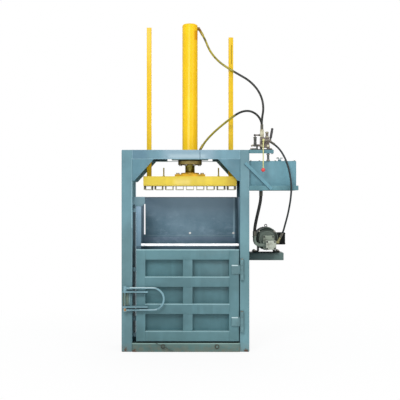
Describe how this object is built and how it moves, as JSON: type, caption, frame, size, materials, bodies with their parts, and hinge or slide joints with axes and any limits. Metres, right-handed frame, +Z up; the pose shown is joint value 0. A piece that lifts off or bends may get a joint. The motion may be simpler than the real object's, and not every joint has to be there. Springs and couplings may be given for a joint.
{
  "type": "vertical hydraulic baler",
  "caption": "Upright hydraulic baling press: welded frame, swinging door with U-handle latch, ram-driven press plate with guide posts, side oil tank, hand valve and motor pump.",
  "frame": {"origin": "on the floor, under the ram's axis, at the middle of the frame's depth", "axes": "+Z up, -Y towards the door, +X towards the oil tank and motor"},
  "size_m": [1.77, 0.625, 3.334],
  "materials": {
    "frame_paint": "semi-gloss grey-blue paint",
    "door_paint": "semi-gloss grey-blue paint",
    "chamber_paint": "semi-gloss grey-blue paint",
    "tank_paint": "semi-gloss grey-blue paint",
    "press_paint": "gloss yellow paint",
    "machine_paint": "dark grey-green machine paint",
    "bare_steel": "machined steel",
    "bright_bar": "bright worn steel",
    "rod_chrome": "ground hard chrome",
    "pump_casting": "plain casting",
    "valve_casting": "plated casting",
    "black_hose": "black hose cover",
    "grey_hose": "grey hose cover",
    "red_ball": "red ball knob"
  },
  "bodies": {
    "frame": {"left_column": "frame_paint", "right_column": "frame_paint", "front_top_beam": "frame_paint", "rear_top_beam": "frame_paint", "corner_gussets": "frame_paint", "front_sill": "frame_paint", "rear_sill": "frame_paint", "crosshead": "frame_paint", "floor_deck": "chamber_paint", "left_wall": "chamber_paint", "right_wall": "chamber_paint", "wall_ties": "frame_paint", "rear_panel": "chamber_paint", "rear_lower_wall": "chamber_paint", "feed_bar": "bright_bar", "column_hinges": "door_paint", "hinge_pins": "bare_steel", "latch_keeper": "door_paint", "cylinder_tube": "press_paint", "cylinder_gland": "press_paint", "gland_bolts": "bare_steel", "cylinder_elbows": "press_paint", "oil_tank": "tank_paint", "tank_lid": "tank_paint", "tank_shelf": "frame_paint", "tank_brace": "frame_paint", "valve_shelf": "frame_paint", "return_pipe": "bare_steel", "valve_body": "valve_casting", "motor_shelf": "frame_paint", "motor_housing": "machine_paint", "fan_cowl": "machine_paint", "gear_pump": "pump_casting", "suction_elbow": "machine_paint", "top_hose": "black_hose", "lower_hose": "black_hose", "pressure_hose": "grey_hose", "suction_hose": "black_hose"},
    "door": {"door_skin": "door_paint", "door_latch_stile": "door_paint", "door_hinge_stile": "door_paint", "door_rails": "door_paint", "door_mullions": "door_paint", "door_hinges": "door_paint", "latch_fork": "door_paint"},
    "latch": {"latch_handle": "door_paint"},
    "press": {"platen_shell": "press_paint", "platen_face": "press_paint", "strap_channels_left": "press_paint", "strap_channels_middle": "press_paint", "strap_channels_right": "press_paint", "guide_post_left": "press_paint", "guide_post_right": "press_paint", "rod_seat": "press_paint", "piston_rod": "rod_chrome", "piston": "bare_steel"},
    "lever": {"hand_lever": "bare_steel", "lever_ball": "red_ball"},
    "rotor": {"motor_rotor": "bare_steel"},
    "cap": {"breather_cap": "bright_bar"}
  },
  "joints": [
    {"name": "press_slide", "type": "slide", "parent": "frame", "child": "press", "axis": [0, 0, -1], "range_m": [0, 1.1]},
    {"name": "door_hinge", "type": "hinge", "parent": "frame", "child": "door", "pos_m": [0.518, -0.3, 0.5655], "axis": [0, 0, 1], "range_deg": [0, 115]},
    {"name": "latch_turn", "type": "hinge", "parent": "door", "child": "latch", "pos_m": [-0.648, -0.325, 0.5335], "axis": [0, 0, -1], "range_deg": [0, 150]},
    {"name": "valve_lever", "type": "hinge", "parent": "frame", "child": "lever", "pos_m": [0.75, -0.318, 2.116], "axis": [1, 0, 0], "range_deg": [-25, 12]},
    {"name": "rotor_spin", "type": "hinge", "parent": "frame", "child": "rotor", "pos_m": [0.79, 0.07, 1.122], "axis": [0, 1, 0], "continuous": true},
    {"name": "cap_turn", "type": "hinge", "parent": "frame", "child": "cap", "pos_m": [0.916, -0.1, 1.94], "axis": [0, 0, 1], "continuous": true}
  ]
}
